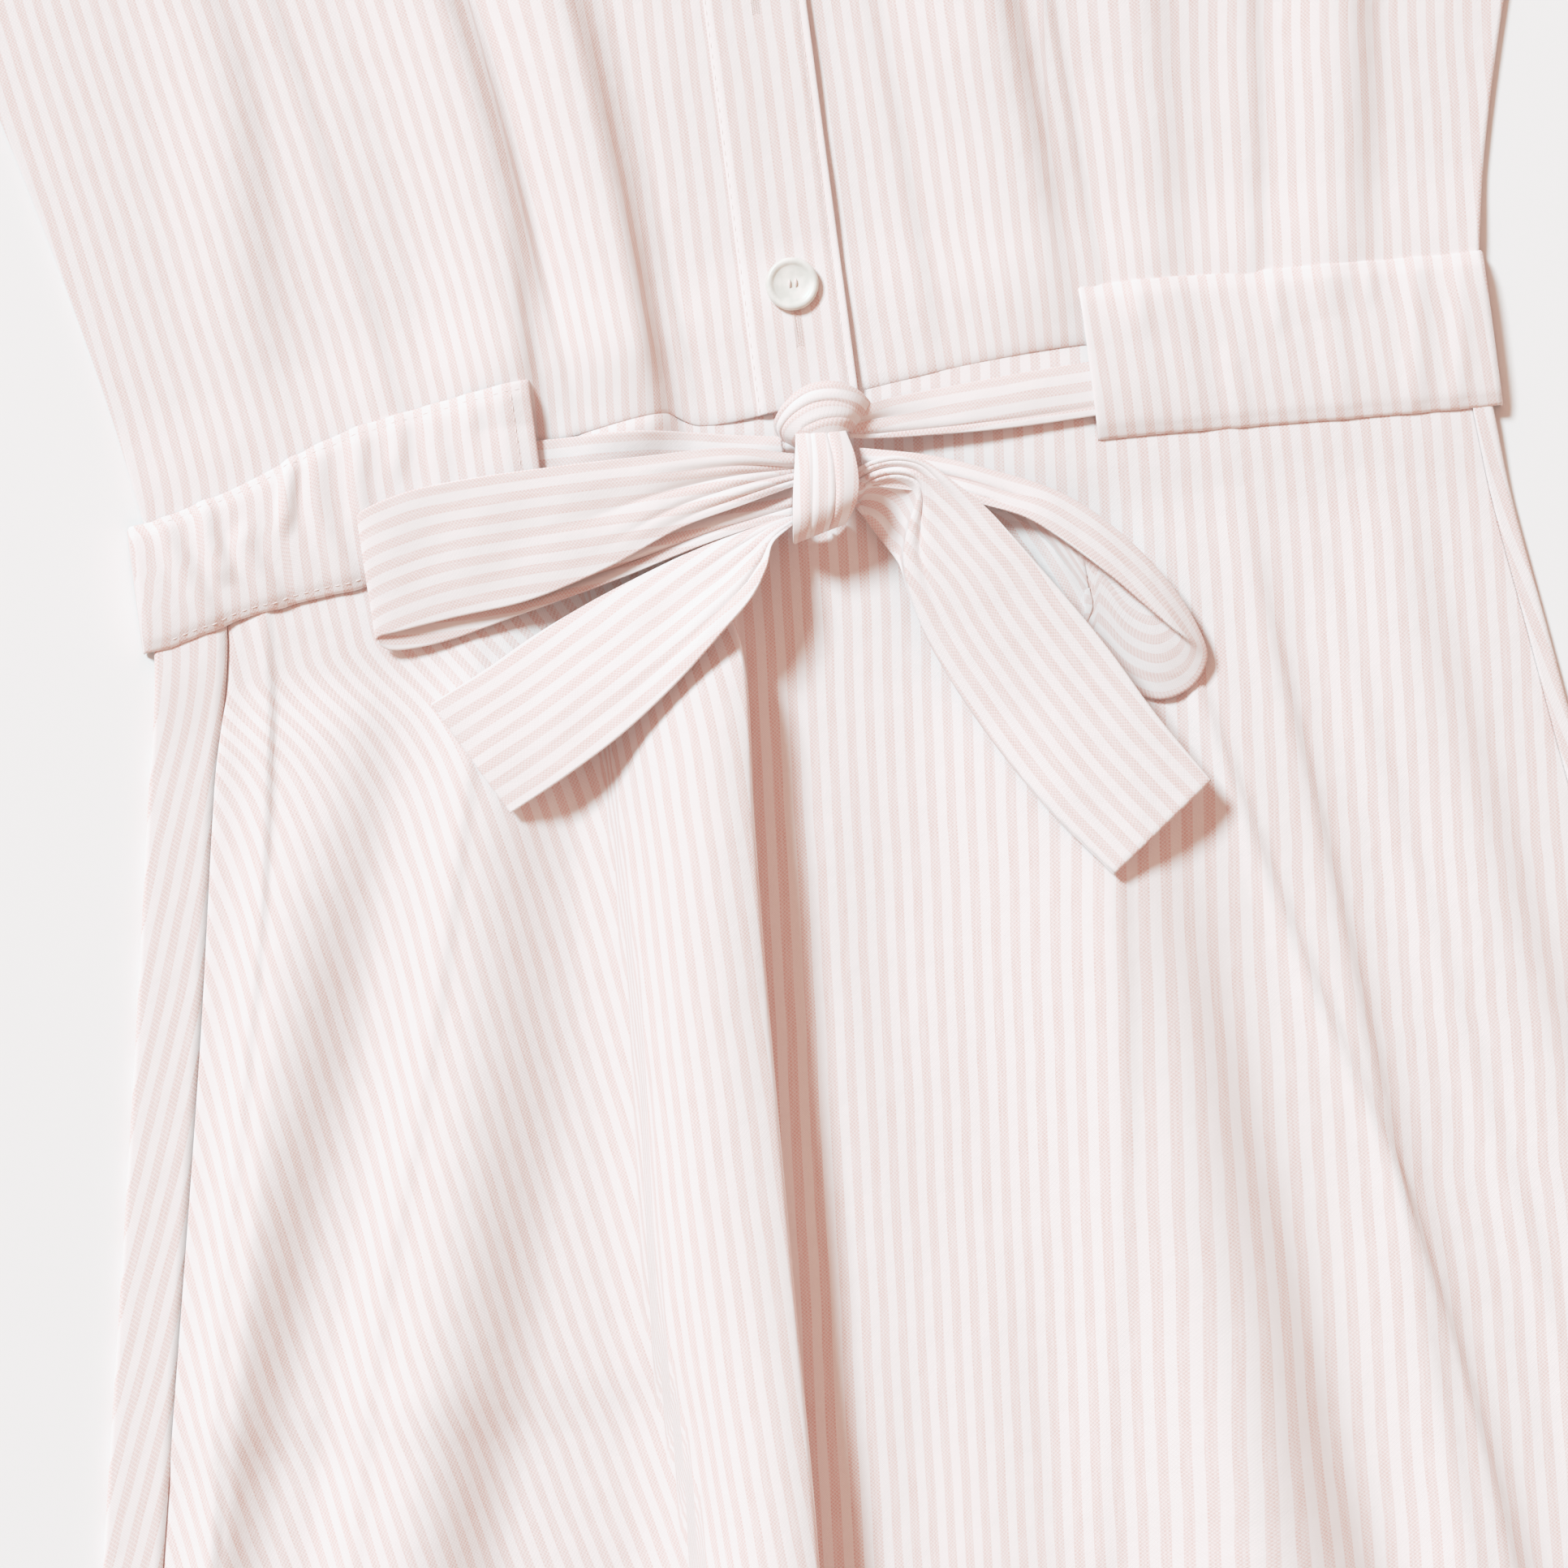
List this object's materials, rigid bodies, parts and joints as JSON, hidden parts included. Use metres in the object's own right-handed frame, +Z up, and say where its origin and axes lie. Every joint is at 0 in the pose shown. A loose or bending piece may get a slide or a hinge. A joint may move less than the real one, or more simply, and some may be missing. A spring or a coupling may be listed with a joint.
{
  "type": "shirt dress",
  "caption": "Striped cotton shirt dress laid flat, with a buttoned bodice, a waist channel and a tied bow belt, short sleeves, shirt collar and A-line skirt.",
  "frame": {"origin": "on the table, under the middle of the laid dress", "axes": "+Y from the hem to the collar, +X to the wearer's left, +Z up from the table"},
  "size_m": [0.7446, 1.1124, 0.0305],
  "materials": {
    "striped_cotton": "soft plain-weave cotton with narrow pink and white stripes",
    "tie_cotton": "the same striped cotton, doubled and pressed, with the stripes along its length",
    "button": "cream with a faint pearly sheen and a raised rim"
  },
  "bodies": {
    "root": {"skirt_front": "striped_cotton", "skirt_back": "striped_cotton", "bodice_back": "striped_cotton", "bodice_front_right": "striped_cotton", "bodice_front_left": "striped_cotton", "button_band": "striped_cotton", "waist_channel_right": "striped_cotton", "waist_channel_left": "striped_cotton", "waist_channel_back": "striped_cotton", "pocket_bag": "striped_cotton", "tie_run_right": "tie_cotton", "tie_run_left": "tie_cotton", "tie_tail_right": "tie_cotton", "tie_tail_left": "tie_cotton", "tie_loop_right": "tie_cotton", "tie_loop_left": "tie_cotton", "tie_knot_wrap": "tie_cotton", "tie_knot_over": "tie_cotton", "sleeve_right": "striped_cotton", "sleeve_left": "striped_cotton", "collar_stand": "striped_cotton", "collar": "striped_cotton", "button_1": "button", "button_2": "button", "button_3": "button", "button_4": "button"}
  },
  "joints": []
}
